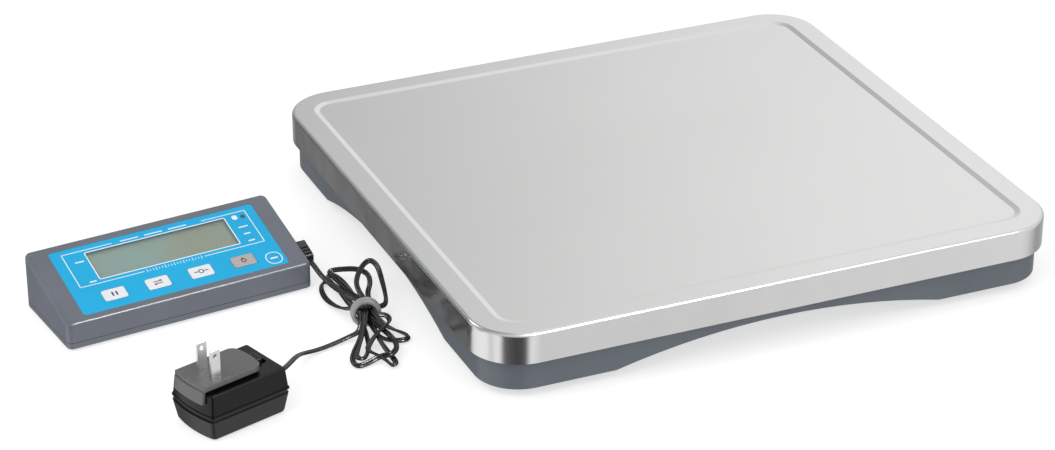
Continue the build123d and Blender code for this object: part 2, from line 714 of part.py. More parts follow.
def head_apron(high):
    """The lip that hangs from the head's left end and hides the way in the upper shell."""
    gap, thick = 0.3, APRON[1]
    clear = body_block(0.9 + gap, -0.5 + gap, (BODY_LEDGE, high + 0.2), 1.6)
    lip = body_block(0.9 + gap + thick, -0.5 + gap + thick, (BODY_LEDGE, high + 0.2), 2.2)
    return (lip - clear) & block((-12, APRON[0]), (5.2, 31.9), (APRON_LOW, high + 0.2))


def plug_head():
    """The detachable head: plate with a rounded right end, neck and T-shaped rail."""
    (left, right), (near, far), (low, high) = HEAD_X, HEAD_Y, HEAD_Z
    middle = (near + far) / 2
    bow = ThreePointArc((left, far), (left - 1.2, middle), (left, near))
    corner = 5.5
    end = [Line((left, near), (right - corner, near)),
           ThreePointArc((right - corner, near), (right - 1.4, near + 1.9), (right, near + corner)),
           ThreePointArc((right, near + corner), (right + 0.8, middle), (right, far - corner)),
           ThreePointArc((right, far - corner), (right - 1.4, far - 1.9), (right - corner, far)),
           Line((right - corner, far), (left, far))]
    plate = Pos(0, 0, low) * extrude(make_face([bow] + end), high - low)
    plate = fillet(top_edges(plate), 0.7)
    neck = slab(34.0, far - near - 6, (BODY_HIGH + 0.3, low + 0.1), 3.0, (17.5, middle))
    web = block((0.5, RAIL_END - 0.5), (13.2, 24.4), (26.8, BODY_HIGH + 0.4))
    rail = block((0.5, RAIL_END - 0.5), (10.7, 26.9), (24.6, 26.9))
    head = plate + neck + web + rail + head_apron(low)
    for y in BLADE_Y:
        inner = max(y, TANG_Y)
        head -= block(span(BLADE_X, BLADE[0]), span(y, BLADE[1]), (29.9, high + 1))
        head -= block(span(BLADE_X, BLADE[0]), (y - BLADE[1] / 2, inner + BLADE[1] / 2), (29.9, 31.0))
        head -= block(span(BLADE_X, BLADE[0]), span(inner, BLADE[1]), (23.0, 31.0))
    return ADAPTER * head


def plug_blades():
    """Two flat blades with a hole near each tip, fixed in the plug head."""
    blades = []
    for y in BLADE_Y:
        tip = HEAD_Z[1] + BLADE[2]
        blade = block(span(BLADE_X, BLADE[0]), span(y, BLADE[1]), (29.9, tip))
        blade = chamfer(top_edges(blade).filter_by(Axis.X), 0.4)
        blade -= rod(1.6, (BLADE_X, y - 3, tip - 4.0), (BLADE_X, y + 3, tip - 4.0))
        inner = max(y, TANG_Y)
        blade += block(span(BLADE_X, BLADE[0]), (y - BLADE[1] / 2, inner + BLADE[1] / 2), (29.9, 31.0))
        blade += block(span(BLADE_X, BLADE[0]), span(inner, BLADE[1]), (24.6, 31.0))
        blades.append(blade)
    return ADAPTER * group(blades)


def latch_button():
    """The sprung catch beside the plug head, with grip ridges."""
    button = slab(5.0, 9.6, (27.0, 31.9), 1.6, (43.6, 18.8))
    button = fillet(top_edges(button), 0.5)
    for step in (-1, 0, 1):
        button -= block(span(43.6, 3.0), span(18.8 + 2.4 * step, 0.7), (31.4, 33.0))
    return ADAPTER * (button + slab(9.0, 12.0, (25.4, 27.0), 1.0, (43.0, 18.8)))


def latch_spring():
    """The leaf spring behind the catch."""
    leaf = block((49.0, 49.4), (14.0, 23.6), (22.5, 26.8))
    return ADAPTER * (leaf + block((45.0, 49.1), (14.0, 23.6), (22.5, 22.9)))


def adapter_board():
    """The adapter's circuit board, on edge rails in the lower shell."""
    return ADAPTER * slab(44.0, 31.0, (7.0, 8.6), 1.0, (26.2, 18.8))


def transformer():
    """The adapter's small transformer: core and wound bobbin."""
    core = block((24.0, 42.0), (9.0, 28.0), (8.6, 21.0))
    core -= block((23.0, 43.0), (12.0, 15.5), (10.6, 22.0))
    core -= block((23.0, 43.0), (21.5, 25.0), (10.6, 22.0))
    return ADAPTER * fillet(core.edges().filter_by(Axis.X), 0.4)


def adapter_capacitors():
    """Two can capacitors on the adapter's board."""
    return ADAPTER * group([disc(4.0, (8.6, 20.0), (9.0, 26.0)), disc(3.0, (8.6, 17.0), (9.5, 11.5))])


def blade_contacts():
    """Two spring contacts under the plug head's rail."""
    contacts = []
    for y in BLADE_Y:
        low = block(span(18.0, 6.0), span(y, 5.0), (8.6, 9.0))
        stem = block((18.0, 18.4), span(y, 5.0), (8.6, 24.0))
        contacts.append(low + stem + block((13.0, 18.4), span(y, 5.0), (23.6, 24.0)))
    return ADAPTER * group(contacts)


def exit_hole(radius, inward):
    """A cylinder along the lead where it leaves the adapter's right end."""
    x, y, z = LEAD_EXIT
    return rod(radius, (x - inward, y, z), (x, y, z))


def strain_relief():
    """The grommet where the lead leaves the adapter, with a flange inside the shells."""
    x, y, z = LEAD_EXIT
    grommet = chamfer(exit_hole(2.4, 6.0).faces().sort_by(Axis.X)[-1].edges(), 0.5)
    return ADAPTER * (grommet + rod(3.6, (x - 6.0, y, z), (x - 4.6, y, z)))


# --- lead -------------------------------------------------------------------------------------
def power_plug():
    """The moulded right-angle plug on the indicator's end, turned up and ribbed in front."""
    outline = [(PLUG_X[0], y, z) for y, z in PLUG_SIDE]
    side = make_face(Polyline(*outline, close=True))
    body = extrude(side, PLUG_X[1] - PLUG_X[0], dir=(1, 0, 0))
    body = fillet(body.edges().filter_by(Axis.X), 0.8)
    body = fillet(body.faces().sort_by(Axis.X)[-1].edges(), 0.5)
    (near, low), (far, high) = PLUG_SIDE[1:3]
    for y in PLUG_RIBS:
        top = low + (high - low) * (y - near) / (far - near)
        body -= block((0, 200), span(y, 0.9), (top - 0.8, 40))
        body -= block((PLUG_X[1] - 0.6, 200), span(y, 0.9), (12.5, 40))
    radius = BARREL[0]
    body -= rod(radius, (PLUG_X[0] - 1, JACK_Y, JACK_Z), (PLUG_X[0] + 4, JACK_Y, JACK_Z))
    return INDICATOR * body


def plug_barrel():
    """The plug's metal barrel, which fits the jack round its centre pin."""
    outer, bore, length = BARREL
    root = PLUG_X[0] + 4
    tip = PLUG_X[0] - length
    barrel = rod(outer, (root, JACK_Y, JACK_Z), (tip, JACK_Y, JACK_Z))
    return INDICATOR * (barrel - rod(bore, (tip + 8, JACK_Y, JACK_Z), (tip - 1, JACK_Y, JACK_Z)))


def arc_radii(route):
    """The largest arc at each corner that its two runs leave room for."""
    radii = []
    for before, here, after in zip(route, route[1:], route[2:]):
        into, out = Vector(*here) - Vector(*before), Vector(*after) - Vector(*here)
        half_turn = math.radians(into.get_angle(out)) / 2
        radii.append(0.45 * min(into.length, out.length) / math.tan(half_turn))
    return radii


def lead_tube(name, route):
    """One stretch of the lead that isn't tied up, as a round tube."""
    radii = arc_radii(route)
    tube = bent_tube(route, radii, LEAD / 2)
    length = FilletPolyline(*route, radius=radii).length
    print(name, "radii", [round(radius, 1) for radius in radii])
    print(name, "length", round(length, 1), "volume", round(tube.volume, 1),
          "section x length", round(math.pi * (LEAD / 2) ** 2 * length, 1))
    return tube


def cord_hank():
    """The outer form of the tied hank: two flat bows joined by a neck through the tie."""
    upper = extrude(make_face(Polyline(*HANK_UPPER, close=True)), HANK_HIGH[0])
    lower = extrude(make_face(Polyline(*HANK_LOWER, close=True)), HANK_HIGH[1])
    neck = Rot(90, 0, 0) * Cylinder(TIE_RING - TIE_SECTION - 0.1, 18.0)
    return upper + lower + Pos(*TIE_AT) * Rot(0, 0, TIE_TURN) * neck


def cord_tie():
    """The ring that ties the hank."""
    ring = Rot(90, 0, 0) * Torus(TIE_RING, TIE_SECTION)
    return Pos(*TIE_AT) * Rot(0, 0, TIE_TURN) * ring


# --- the whole scale --------------------------------------------------------------------------
PARTS = {
    "platter": platter,
    "platter_pads": platter_pads,
    "base_shell": base_shell,
    "cell_mounts": cell_mounts,
    "cell_screws": cell_screws,
    "cell_wires": cell_wires,
    "strain_gauges": strain_gauges,
    "junction_board": junction_board,
    "junction_parts": junction_parts,
    "junction_screws": junction_screws,
    "junction_cover": junction_cover,
    "data_socket_base": data_socket_base,
    "case_top": case_top,
    "case_bottom": case_bottom,
    "case_screws": case_screws,
    "case_pads": case_pads,
    "battery_door": battery_door,
    "face_film": face_film,
    "window_lens": window_lens,
    "lcd_glass": lcd_glass,
    "lcd_frame": lcd_frame,
    "key_switches": key_switches,
    "main_board": main_board,
    "board_screws": board_screws,
    "board_parts": board_parts,
    "buzzer": buzzer,
    "status_lamp": status_lamp,
    "dc_jack": dc_jack,
    "data_socket_case": data_socket_case,
    "battery": battery,
    "battery_snap": battery_snap,
    "adapter_top": adapter_top,
    "adapter_bottom": adapter_bottom,
    "plug_head": plug_head,
    "plug_blades": plug_blades,
    "latch_button": latch_button,
    "latch_spring": latch_spring,
    "adapter_board": adapter_board,
    "transformer": transformer,
    "adapter_capacitors": adapter_capacitors,
    "blade_contacts": blade_contacts,
    "strain_relief": strain_relief,
    "power_plug": power_plug,
    "plug_barrel": plug_barrel,
    "cord_hank": cord_hank,
    "cord_tie": cord_tie,
}

for node, make in PARTS.items():
    keep(node, make())
keep("foot_hubs", at_corners(foot_hub))
keep("feet", at_corners(foot))
for name, (sx, sy) in CORNERS.items():
    keep("load_cell_" + name, load_cell(sx, sy))
for number, name in enumerate(KEY_NAMES):
    keep("key_" + name, key(number))
keep("cord_plug_side", lead_tube("plug side", PLUG_ROUTE))
keep("cord_adapter_side", lead_tube("adapter side", ADAPTER_ROUTE))
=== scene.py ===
"""The looks of a bench scale: steel platter, arched base, indicator, wall adapter and tied lead."""
import json
import math
import bpy
import bmesh
from mathutils import Matrix, Vector


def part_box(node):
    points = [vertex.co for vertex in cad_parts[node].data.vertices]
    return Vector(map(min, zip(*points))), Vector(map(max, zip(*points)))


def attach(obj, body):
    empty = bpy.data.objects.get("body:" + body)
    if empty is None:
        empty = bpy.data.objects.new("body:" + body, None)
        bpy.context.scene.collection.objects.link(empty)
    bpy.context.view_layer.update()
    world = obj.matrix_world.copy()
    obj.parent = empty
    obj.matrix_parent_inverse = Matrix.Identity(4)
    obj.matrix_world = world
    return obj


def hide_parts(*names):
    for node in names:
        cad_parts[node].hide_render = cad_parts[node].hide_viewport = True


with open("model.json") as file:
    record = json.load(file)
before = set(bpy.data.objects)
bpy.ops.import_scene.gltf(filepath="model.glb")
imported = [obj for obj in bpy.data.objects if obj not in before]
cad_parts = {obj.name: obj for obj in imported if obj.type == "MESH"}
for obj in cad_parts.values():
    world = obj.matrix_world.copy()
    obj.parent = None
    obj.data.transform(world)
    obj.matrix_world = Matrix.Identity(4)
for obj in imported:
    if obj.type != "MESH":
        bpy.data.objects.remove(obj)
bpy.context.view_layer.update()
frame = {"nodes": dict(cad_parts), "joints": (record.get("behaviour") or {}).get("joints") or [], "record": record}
MM = 0.001
NODES = frame["nodes"]
JOINTS = {joint["name"]: joint for joint in frame["joints"]}

# camera
CAMERA_AT = (-0.8128, -1.6694, 0.9536)
CAMERA_DOWN = 27.298
CAMERA_TURN = 23.439
CAMERA_LENS = 111.13

# grey levels round the room that polished steel mirrors: (degrees from +X towards +Y, level)
LOW_RING = [(-179, 0.42), (-172, 0.34), (-160, 0.50), (-152, 0.48), (-145, 0.06), (-118, 0.03),
            (-97, 0.04), (-86, 0.50), (-70, 0.34), (-64, 0.35), (-55, 0.42), (-30, 0.36),
            (0, 0.18), (30, 0.22), (50, 0.38), (70, 0.42), (95, 0.16), (109, 0.105), (113, 0.05),
            (126, 0.06), (136, 0.44), (160, 0.50)]
HIGH_RING = [(-179, 0.30), (-120, 0.30), (-95, 0.38), (-20, 0.38), (20, 0.38), (46, 0.40),
             (57, 0.49), (62, 0.45), (68, 0.34), (74, 0.24), (100, 0.16), (120, 0.08),
             (150, 0.20)]
MIRROR_STRENGTH = 2.0
FILL_STRENGTH = 0.8
FLOOR_GLOW = 0.62
STRIP_SIZE = 0.42

# indicator face: distances in millimetres from the film's centre, along the case and up the slope
KEY_PITCH = 28.4
KEY_ALONG = -0.8
KEY_UP = -17.2
FILM_TOP = 0.2
KEY_TOP = 0.55
WINDOW = (92.4, 23.8)
WINDOW_UP = 9.7
PRINT = 0.05
LINE = 0.55
FRAME_X = (-60.5, 61.5)
FRAME_Y = (-5.5, 24.3)
LOWER_GAP = (-18.8, 21.2)
UPPER_GAP = (-27.5, 32.3)
TICKS = 19
TICK_START = -16.9
TICK_PITCH = 2.0
# short bars in the frame: across, up, length
SIDE_MARKS = [(-52.3, 15.4, 6.0), (-51.2, -3.0, 4.6), (54.7, 10.9, 6.4), (54.5, 4.5, 4.4),
              (54.5, -2.1, 4.4)]
TOP_MARKS_X = (-16.0, 0.0, 16.0)
RING_AT = (60.5, -21.3)
PALM_AT = (53.0, 20.1)

# twin lead, in millimetres: two round conductors side by side
CORE_RADIUS = 0.92
CORE_APART = 0.80
PLUG_ROUTE = [(-231.1, 10.7, 14.3), (-230.5, 4.7, 14), (-230.1, -1.3, 12.8), (-229.5, -7.4, 11.8)]
PLUG_REACH = [(-228.1, -17.5, 11), (-226.4, -28.6, 11.4), (-223.9, -39.7, 12.6)]
ADAPTER_ROUTE = [
    (-228.2, -70.6, 5), (-235.7, -70.0, 2.6), (-245.8, -72.6, 1.7), (-257.4, -75.9, 1.7),
    (-266.5, -79.5, 3.6), (-273.2, -86.6, 7.4), (-279.3, -95.9, 11.2), (-285.5, -105.0, 13.8),
    (-292.4, -111.9, 14.6), (-300.9, -115.5, 14.5),
]
TIE_AT = Vector((-219.5, -56.3, 9.2))
TIE_TURN = -12.0
TIE_RING = 7.7
TIE_STEP = 3.1
TIE_REACH = 4.5
BAND_RADIUS = 1.6
BAND_OFFSET = 1.5
LEAD_TWIST = 55
TWIST_RATE = 61.0
TWIST_FADE = 0.03
FREE_SHARE = 0.08
# each bow of the hank: its points, then the cell of the tie that the lead goes back through
BOWS = [
    ((0, 1), [(-230.9, -78.2, 5), (-238.1, -87.0, 3.2), (-243.7, -95.9, 1.8), (-243.2, -104.4, 1.8),
              (-236.1, -103.0, 2), (-227.5, -100.7, 3.6), (-221.5, -104.8, 5.6),
              (-214.9, -97.0, 4.6), (-212.5, -84.9, 3.6), (-214.7, -75.2, 5)]),
    ((0, 0), [(-214.7, -43.5, 9), (-214.7, -33.6, 10), (-214.0, -25.5, 12), (-210.2, -18.8, 14.5),
              (-204.6, -12.8, 17), (-198.7, -9.8, 18), (-197.2, -18.3, 18), (-198.7, -28.5, 15),
              (-199.9, -37.5, 10), (-201.8, -45.2, 7), (-205.9, -50.8, 7.4)]),
    ((1, 0), [(-209.4, -62.5, 8.6), (-207.5, -66.4, 6.6), (-211.3, -70.8, 6.2), (-218.8, -76.9, 6.6),
              (-227.3, -85.2, 5.6), (-232.6, -92.2, 4.4), (-230.0, -98.3, 4.6),
              (-225.1, -104.4, 2.6), (-224.1, -111.9, 1.8), (-220.1, -110.1, 2),
              (-221.0, -95.8, 3), (-221.2, -80.6, 4.6)]),
    ((1, -1), [(-210.8, -42.2, 6), (-207.8, -27.6, 5), (-201.4, -17.4, 6), (-199.9, -8.8, 8),
               (-204.2, -1.4, 8.6), (-213.1, 3.0, 8), (-220.4, 5.8, 7), (-220.4, -0.9, 6.6),
               (-219.0, -15.6, 7.4), (-219.4, -35.1, 9.6)]),
    ((1, 1), [(-213.5, -70.6, 6.4), (-208.1, -74.3, 3.6), (-203.3, -78.0, 2), (-201.7, -82.5, 1.8),
              (-205.8, -85.7, 1.8), (-213.0, -83.0, 1.8), (-219.0, -77.6, 2.2)]),
    ((0, -1), [(-215.4, -36.5, 4), (-214.0, -17.2, 2.2), (-213.8, -1.4, 1.8), (-216.2, 9.6, 1.8),
               (-221.3, 7.2, 2), (-221.5, -4.7, 4.4), (-222.3, -23.2, 4.6), (-223.3, -41.3, 6)]),
    ((-1, 0), [(-228.6, -76.1, 7.4), (-236.4, -89.2, 5.8), (-242.1, -98.5, 5),
               (-239.1, -102.8, 5.2), (-233.4, -94.3, 2), (-227.3, -82.7, 2)]),
    ((-1, -1), [(-219.7, -35.2, 1.9), (-218.2, -15.2, 1.8), (-219.7, -0.7, 1.8), (-225.1, 3.0, 1.8),
                (-229.7, -4.8, 1.8), (-231.6, -18.0, 1.8), (-229.9, -30.9, 2.6),
                (-226.3, -44.2, 6)]),
]
LAST_CELL = (-1, 1)


# --- mesh helpers -----------------------------------------------------------------------------
def pick(*objects):
    """Select these objects and nothing else."""
    bpy.ops.object.select_all(action="DESELECT")
    for obj in objects:
        obj.select_set(True)
    bpy.context.view_layer.objects.active = objects[0]


def settle(obj):
    """Put an object's place into its mesh."""
    pick(obj)
    bpy.ops.object.transform_apply(location=True, rotation=True, scale=True)
    return obj


def placed(obj, matrix):
    """Move a settled mesh into a frame of its own."""
    obj.data.transform(matrix)
    obj.data.update()
    return obj


def joined(name, objects):
    """Several meshes as one piece."""
    pick(*objects)
    if len(objects) > 1:
        bpy.ops.object.join()
    piece = bpy.context.view_layer.objects.active
    piece.name = name
    return piece


def finished(piece, body, material, smooth=None):
    """Give a piece its material and the body it moves with."""
    piece.data.materials.clear()
    piece.data.materials.append(material)
    if smooth is not None:
        pick(piece)
        bpy.ops.object.shade_smooth_by_angle(angle=math.radians(smooth))
    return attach(piece, body)


def middle(node):
    """The centre of a CAD node's box."""
    low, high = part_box(node)
    return (low + high) / 2


def face_frame():
    """The indicator's face: origin at the film's centre, X along it, Y up it, Z out of it."""
    normal = -Vector(JOINTS["key_hold_press"]["axis"]).normalized()
    depth = Vector(JOINTS["battery_door_slide"]["axis"]).normalized()
    along = depth.cross(Vector((0, 0, 1))).normalized()
    up = normal.cross(along)
    turn = Matrix((along, up, normal)).transposed().to_4x4()
    return Matrix.Translation(middle("face_film")) @ turn


# --- materials --------------------------------------------------------------------------------
def grid(tree, kind, **inputs):
    """One node with its inputs set or linked."""
    node = tree.nodes.new(kind)
    for name, value in inputs.items():
        socket = node.inputs[name.replace("_", " ")]
        if isinstance(value, bpy.types.NodeSocket):
            tree.links.new(value, socket)
        else:
            socket.default_value = value
    return node


def maths(tree, operation, *values):
    """A math node's result."""
    node = tree.nodes.new("ShaderNodeMath")
    node.operation = operation
    for socket, value in zip(node.inputs, values):
        if isinstance(value, bpy.types.NodeSocket):
            tree.links.new(value, socket)
        else:
            socket.default_value = value
    return node.outputs[0]


def new_group(name, inputs, outputs):
    """An empty shader group with float inputs and named outputs."""
    tree = bpy.data.node_groups.new(name, "ShaderNodeTree")
    for label, value in inputs.items():
        socket = tree.interface.new_socket(label, in_out="INPUT", socket_type="NodeSocketFloat")
        socket.default_value = value
    for label in outputs:
        tree.interface.new_socket(label, in_out="OUTPUT", socket_type="NodeSocketFloat")
    return tree, tree.nodes.new("NodeGroupInput"), tree.nodes.new("NodeGroupOutput")


def grain_group():
    """Spark-eroded grain and slow unevenness, as on moulded plastic."""
    tree, given, out = new_group("moulded_grain", {"Size": 0.4}, ["Height", "Patches"])
    place = tree.nodes.new("ShaderNodeTexCoord")
    scale = maths(tree, "DIVIDE", 1000.0, given.outputs["Size"])
    fine = grid(tree, "ShaderNodeTexNoise", Vector=place.outputs["Object"], Scale=scale, Detail=2.0)
    slow = grid(tree, "ShaderNodeTexNoise", Vector=place.outputs["Object"], Scale=35.0, Detail=3.0)
    tree.links.new(fine.outputs["Fac"], out.inputs["Height"])
    tree.links.new(slow.outputs["Fac"], out.inputs["Patches"])
    return tree


def brush_group():
    """Fine scratches that run along X on the flat and down the ends, with soft smears."""
    tree, given, out = new_group("brushed_sheet", {"Fineness": 1.0}, ["Streaks", "Smears"])
    place = tree.nodes.new("ShaderNodeTexCoord")
    split = grid(tree, "ShaderNodeSeparateXYZ", Vector=place.outputs["Object"])
    normal = grid(tree, "ShaderNodeSeparateXYZ", Vector=place.outputs["Normal"])
    end = maths(tree, "GREATER_THAN", maths(tree, "ABSOLUTE", normal.outputs["X"]), 0.7)
    side = maths(tree, "SUBTRACT", 1.0, end)
    along = maths(tree, "ADD", maths(tree, "MULTIPLY", split.outputs["X"], side),
                  maths(tree, "MULTIPLY", split.outputs["Z"], end))
    down = maths(tree, "MULTIPLY", split.outputs["Z"], side)
    across = maths(tree, "ADD", split.outputs["Y"], down)
    fine = maths(tree, "MULTIPLY", given.outputs["Fineness"], 2600.0)
    lines = grid(tree, "ShaderNodeCombineXYZ", X=maths(tree, "MULTIPLY", along, 18.0),
                 Y=maths(tree, "MULTIPLY", across, fine))
    streaks = grid(tree, "ShaderNodeTexNoise", Vector=lines.outputs[0], Scale=1.0, Detail=3.0)
    smears = grid(tree, "ShaderNodeTexNoise", Vector=place.outputs["Object"], Scale=9.0, Detail=4.0)
    tree.links.new(streaks.outputs["Fac"], out.inputs["Streaks"])
    tree.links.new(smears.outputs["Fac"], out.inputs["Smears"])
    return tree


GRAIN = grain_group()
BRUSH = brush_group()


def new_material(name):
    """A material with a bare Principled shader."""
    material = bpy.data.materials.new(name)
    material.use_nodes = True
    return material, material.node_tree, material.node_tree.nodes["Principled BSDF"]


def placed_group(tree, group, **values):
    """A shader group inside a material, with its own values."""
    node = tree.nodes.new("ShaderNodeGroup")
    node.node_tree = group
    for name, value in values.items():
        node.inputs[name].default_value = value
    return node


def mapped(tree, value, low, high):
    """A 0 to 1 value stretched to a range."""
    node = grid(tree, "ShaderNodeMapRange", Value=value, To_Min=low, To_Max=high)
    return node.outputs["Result"]


def tinted(tree, fac, first, second):
    """A colour between two, by a factor."""
    ramp = grid(tree, "ShaderNodeValToRGB", Fac=fac)
    ramp.color_ramp.elements[0].position = 0.3
    ramp.color_ramp.elements[1].position = 0.7
    ramp.color_ramp.elements[0].color = (*first, 1)
    ramp.color_ramp.elements[1].color = (*second, 1)
    return ramp.outputs["Color"]


def bumped(tree, shader, height, strength, distance):
    """Relief from a height value."""
    bump = grid(tree, "ShaderNodeBump", Height=height, Strength=strength, Distance=distance)
    tree.links.new(bump.outputs["Normal"], shader.inputs["Normal"])


def scaled(colour, factor):
    """A colour made lighter or darker."""
    return tuple(min(1.0, part * factor) for part in colour)


def plastic(name, colour, rough=0.45, grain=0.4, relief=0.25, coat=0.0, vary=0.06, shine=0.5):
    """Moulded plastic: grain, slow colour drift and uneven gloss."""
    material, tree, shader = new_material(name)
    texture = placed_group(tree, GRAIN, Size=grain)
    colours = tinted(tree, texture.outputs["Patches"], scaled(colour, 1 - vary),
                     scaled(colour, 1 + vary))
    tree.links.new(colours, shader.inputs["Base Color"])
    gloss = mapped(tree, texture.outputs["Patches"], rough - 0.05, rough + 0.05)
    tree.links.new(gloss, shader.inputs["Roughness"])
    bumped(tree, shader, texture.outputs["Height"], relief, 0.00008)
    shader.inputs["Coat Weight"].default_value = coat
    shader.inputs["Coat Roughness"].default_value = 0.12
    shader.inputs["Specular IOR Level"].default_value = shine
    return material


def metal(name, colour, rough=0.3, fineness=1.0, relief=0.12):
    """Brushed or plated metal."""
    material, tree, shader = new_material(name)
    texture = placed_group(tree, BRUSH, Fineness=fineness)
    colours = tinted(tree, texture.outputs["Smears"], scaled(colour, 0.96), scaled(colour, 1.03))
    tree.links.new(colours, shader.inputs["Base Color"])
    gloss = mapped(tree, texture.outputs["Streaks"], rough - 0.07, rough + 0.07)
    tree.links.new(gloss, shader.inputs["Roughness"])
    bumped(tree, shader, texture.outputs["Streaks"], relief, 0.00002)
    shader.inputs["Metallic"].default_value = 1.0
    return material


def steel_sheet(name, colour):
    """Pressed stainless sheet: a satin top, finer walls that are very slightly dented."""
    material, tree, shader = new_material(name)
    texture = placed_group(tree, BRUSH, Fineness=1.0)
    colours = tinted(tree, texture.outputs["Smears"], scaled(colour, 0.985), scaled(colour, 1.01))
    tree.links.new(colours, shader.inputs["Base Color"])
    place = tree.nodes.new("ShaderNodeTexCoord")
    normal = grid(tree, "ShaderNodeSeparateXYZ", Vector=place.outputs["Normal"])
    flat = maths(tree, "ABSOLUTE", normal.outputs["Z"])
    wall = maths(tree, "SUBTRACT", 1.0, flat)
    gloss = maths(tree, "ADD", maths(tree, "MULTIPLY", flat, 0.06),
                  mapped(tree, texture.outputs["Streaks"], 0.17, 0.21))
    tree.links.new(gloss, shader.inputs["Roughness"])
    dents = grid(tree, "ShaderNodeTexNoise", Vector=place.outputs["Object"], Scale=24.0, Detail=2.0)
    height = maths(tree, "MULTIPLY", dents.outputs["Fac"], wall)
    slow = grid(tree, "ShaderNodeBump", Height=height, Strength=0.5, Distance=0.0012)
    fine = grid(tree, "ShaderNodeBump", Height=texture.outputs["Streaks"], Strength=0.05,
                Distance=0.00001, Normal=slow.outputs["Normal"])
    tree.links.new(fine.outputs["Normal"], shader.inputs["Normal"])
    shader.inputs["Metallic"].default_value = 1.0
    return material


def rubber(name, colour, rough=0.7):
    """Dull rubber with a fine skin."""
    return plastic(name, colour, rough=rough, grain=0.9, relief=0.4, vary=0.15)


def clear_pane():
    """The clear window: thin, with a soft reflection."""
    material, tree, shader = new_material("clear_pane")
    texture = placed_group(tree, GRAIN, Size=2.0)
    shader.inputs["Base Color"].default_value = (0.86, 0.92, 0.88, 1)
    tree.links.new(mapped(tree, texture.outputs["Patches"], 0.08, 0.2), shader.inputs["Roughness"])
    shader.inputs["Alpha"].default_value = 0.10
    return material


def display_glass():
    """The unlit display: grey-green with drifting warm and cool patches."""
    material, tree, shader = new_material("display_glass")
    place = tree.nodes.new("ShaderNodeTexCoord")
    drift = grid(tree, "ShaderNodeTexNoise", Vector=place.outputs["Object"], Scale=22.0, Detail=1.5)
    ramp = grid(tree, "ShaderNodeValToRGB", Fac=drift.outputs["Fac"])
    ramp.color_ramp.elements[0].position = 0.32
    ramp.color_ramp.elements[0].color = (0.160, 0.165, 0.080, 1)
    ramp.color_ramp.elements[1].position = 0.66
    ramp.color_ramp.elements[1].color = (0.110, 0.245, 0.225, 1)
    step = ramp.color_ramp.elements.new(0.5)
    step.color = (0.125, 0.235, 0.185, 1)
    tree.links.new(ramp.outputs["Color"], shader.inputs["Base Color"])
    shader.inputs["Roughness"].default_value = 0.28
    return material


def hatched(name, colour, ink):
    """A key printed with a fine diagonal hatch."""
    material, tree, shader = new_material(name)
    place = tree.nodes.new("ShaderNodeTexCoord")
    wave = grid(tree, "ShaderNodeTexWave", Vector=place.outputs["Object"], Scale=420.0,
                Distortion=0.6)
    wave.bands_direction = "DIAGONAL"
    tree.links.new(tinted(tree, wave.outputs["Fac"], ink, colour), shader.inputs["Base Color"])
    shader.inputs["Roughness"].default_value = 0.4
    return material


